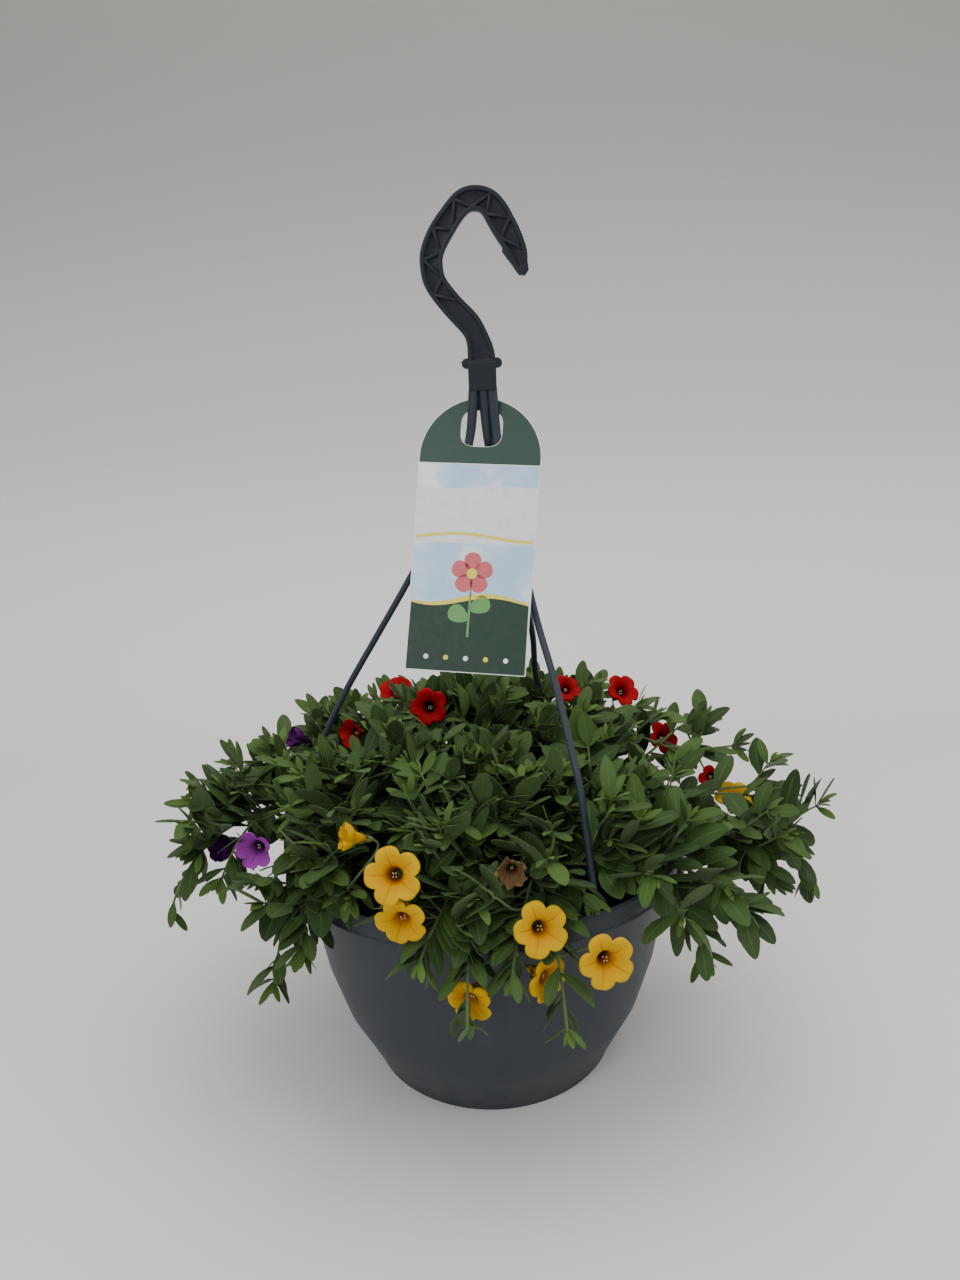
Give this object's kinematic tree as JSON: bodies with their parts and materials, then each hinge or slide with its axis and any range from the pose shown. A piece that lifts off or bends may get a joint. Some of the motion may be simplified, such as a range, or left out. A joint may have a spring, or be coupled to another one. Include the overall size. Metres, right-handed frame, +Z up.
{
  "type": "calibrachoa in a hanging pot",
  "caption": "Round hanging pot with hook, three arms and tag, filled with flowering calibrachoa in yellow, red and purple.",
  "frame": {"origin": "centre of the pot's flat base, on the surface it stands on", "axes": "+Z up; -Y is the front, the side that the tag faces; +X to the right seen from the front"},
  "size_m": [0.4313, 0.3475, 0.5569],
  "materials": {
    "pot": "satin dark slate",
    "water_floor": "matt dark grey",
    "soil": "loose dark potting soil of peat and bark",
    "hanger": "satin near-black, blue tinge",
    "tag": "printed, satin",
    "foliage": "matt green, slightly hairy",
    "yellow_petals": "velvety",
    "red_petals": "velvety",
    "purple_petals": "velvety",
    "withered_petals": "dry"
  },
  "bodies": {
    "root": {"bloom_purple_dark": "purple_petals", "bloom_purple_deep": "purple_petals", "bloom_purple_light": "purple_petals", "bloom_purple_upper": "purple_petals", "bloom_red_back": "red_petals", "bloom_red_deep": "red_petals", "bloom_red_front": "red_petals", "bloom_red_high": "red_petals", "bloom_red_left": "red_petals", "bloom_red_right": "red_petals", "bloom_red_small": "red_petals", "bloom_red_top": "red_petals", "bloom_withered": "withered_petals", "bloom_yellow_hidden": "yellow_petals", "bloom_yellow_left": "yellow_petals", "bloom_yellow_low": "yellow_petals", "bloom_yellow_middle": "yellow_petals", "bloom_yellow_right": "yellow_petals", "bloom_yellow_side": "yellow_petals", "bloom_yellow_small": "yellow_petals", "bloom_yellow_under": "yellow_petals", "hanger_arm_back": "hanger", "hanger_arm_front": "hanger", "hanger_arm_left": "hanger", "hanger_hook": "hanger", "pot": "pot", "soil": "soil", "stem_purple_back": "foliage", "stem_purple_far": "foliage", "stem_purple_inner": "foliage", "stem_purple_low": "foliage", "stem_purple_rim": "foliage", "stem_purple_side": "foliage", "stem_purple_tuft": "foliage", "stem_purple_upper": "foliage", "stem_red_drop": "foliage", "stem_red_edge": "foliage", "stem_red_hang": "foliage", "stem_red_inner": "foliage", "stem_red_left": "foliage", "stem_red_peak": "foliage", "stem_red_side": "foliage", "stem_red_top": "foliage", "stem_yellow_drop": "foliage", "stem_yellow_edge": "foliage", "stem_yellow_fore": "foliage", "stem_yellow_hang": "foliage", "stem_yellow_high": "foliage", "stem_yellow_inner": "foliage", "stem_yellow_low": "foliage", "stem_yellow_mid": "foliage", "stem_yellow_star": "foliage", "stem_yellow_trail": "foliage", "tag": "tag", "water_floor": "water_floor"}
  },
  "joints": []
}
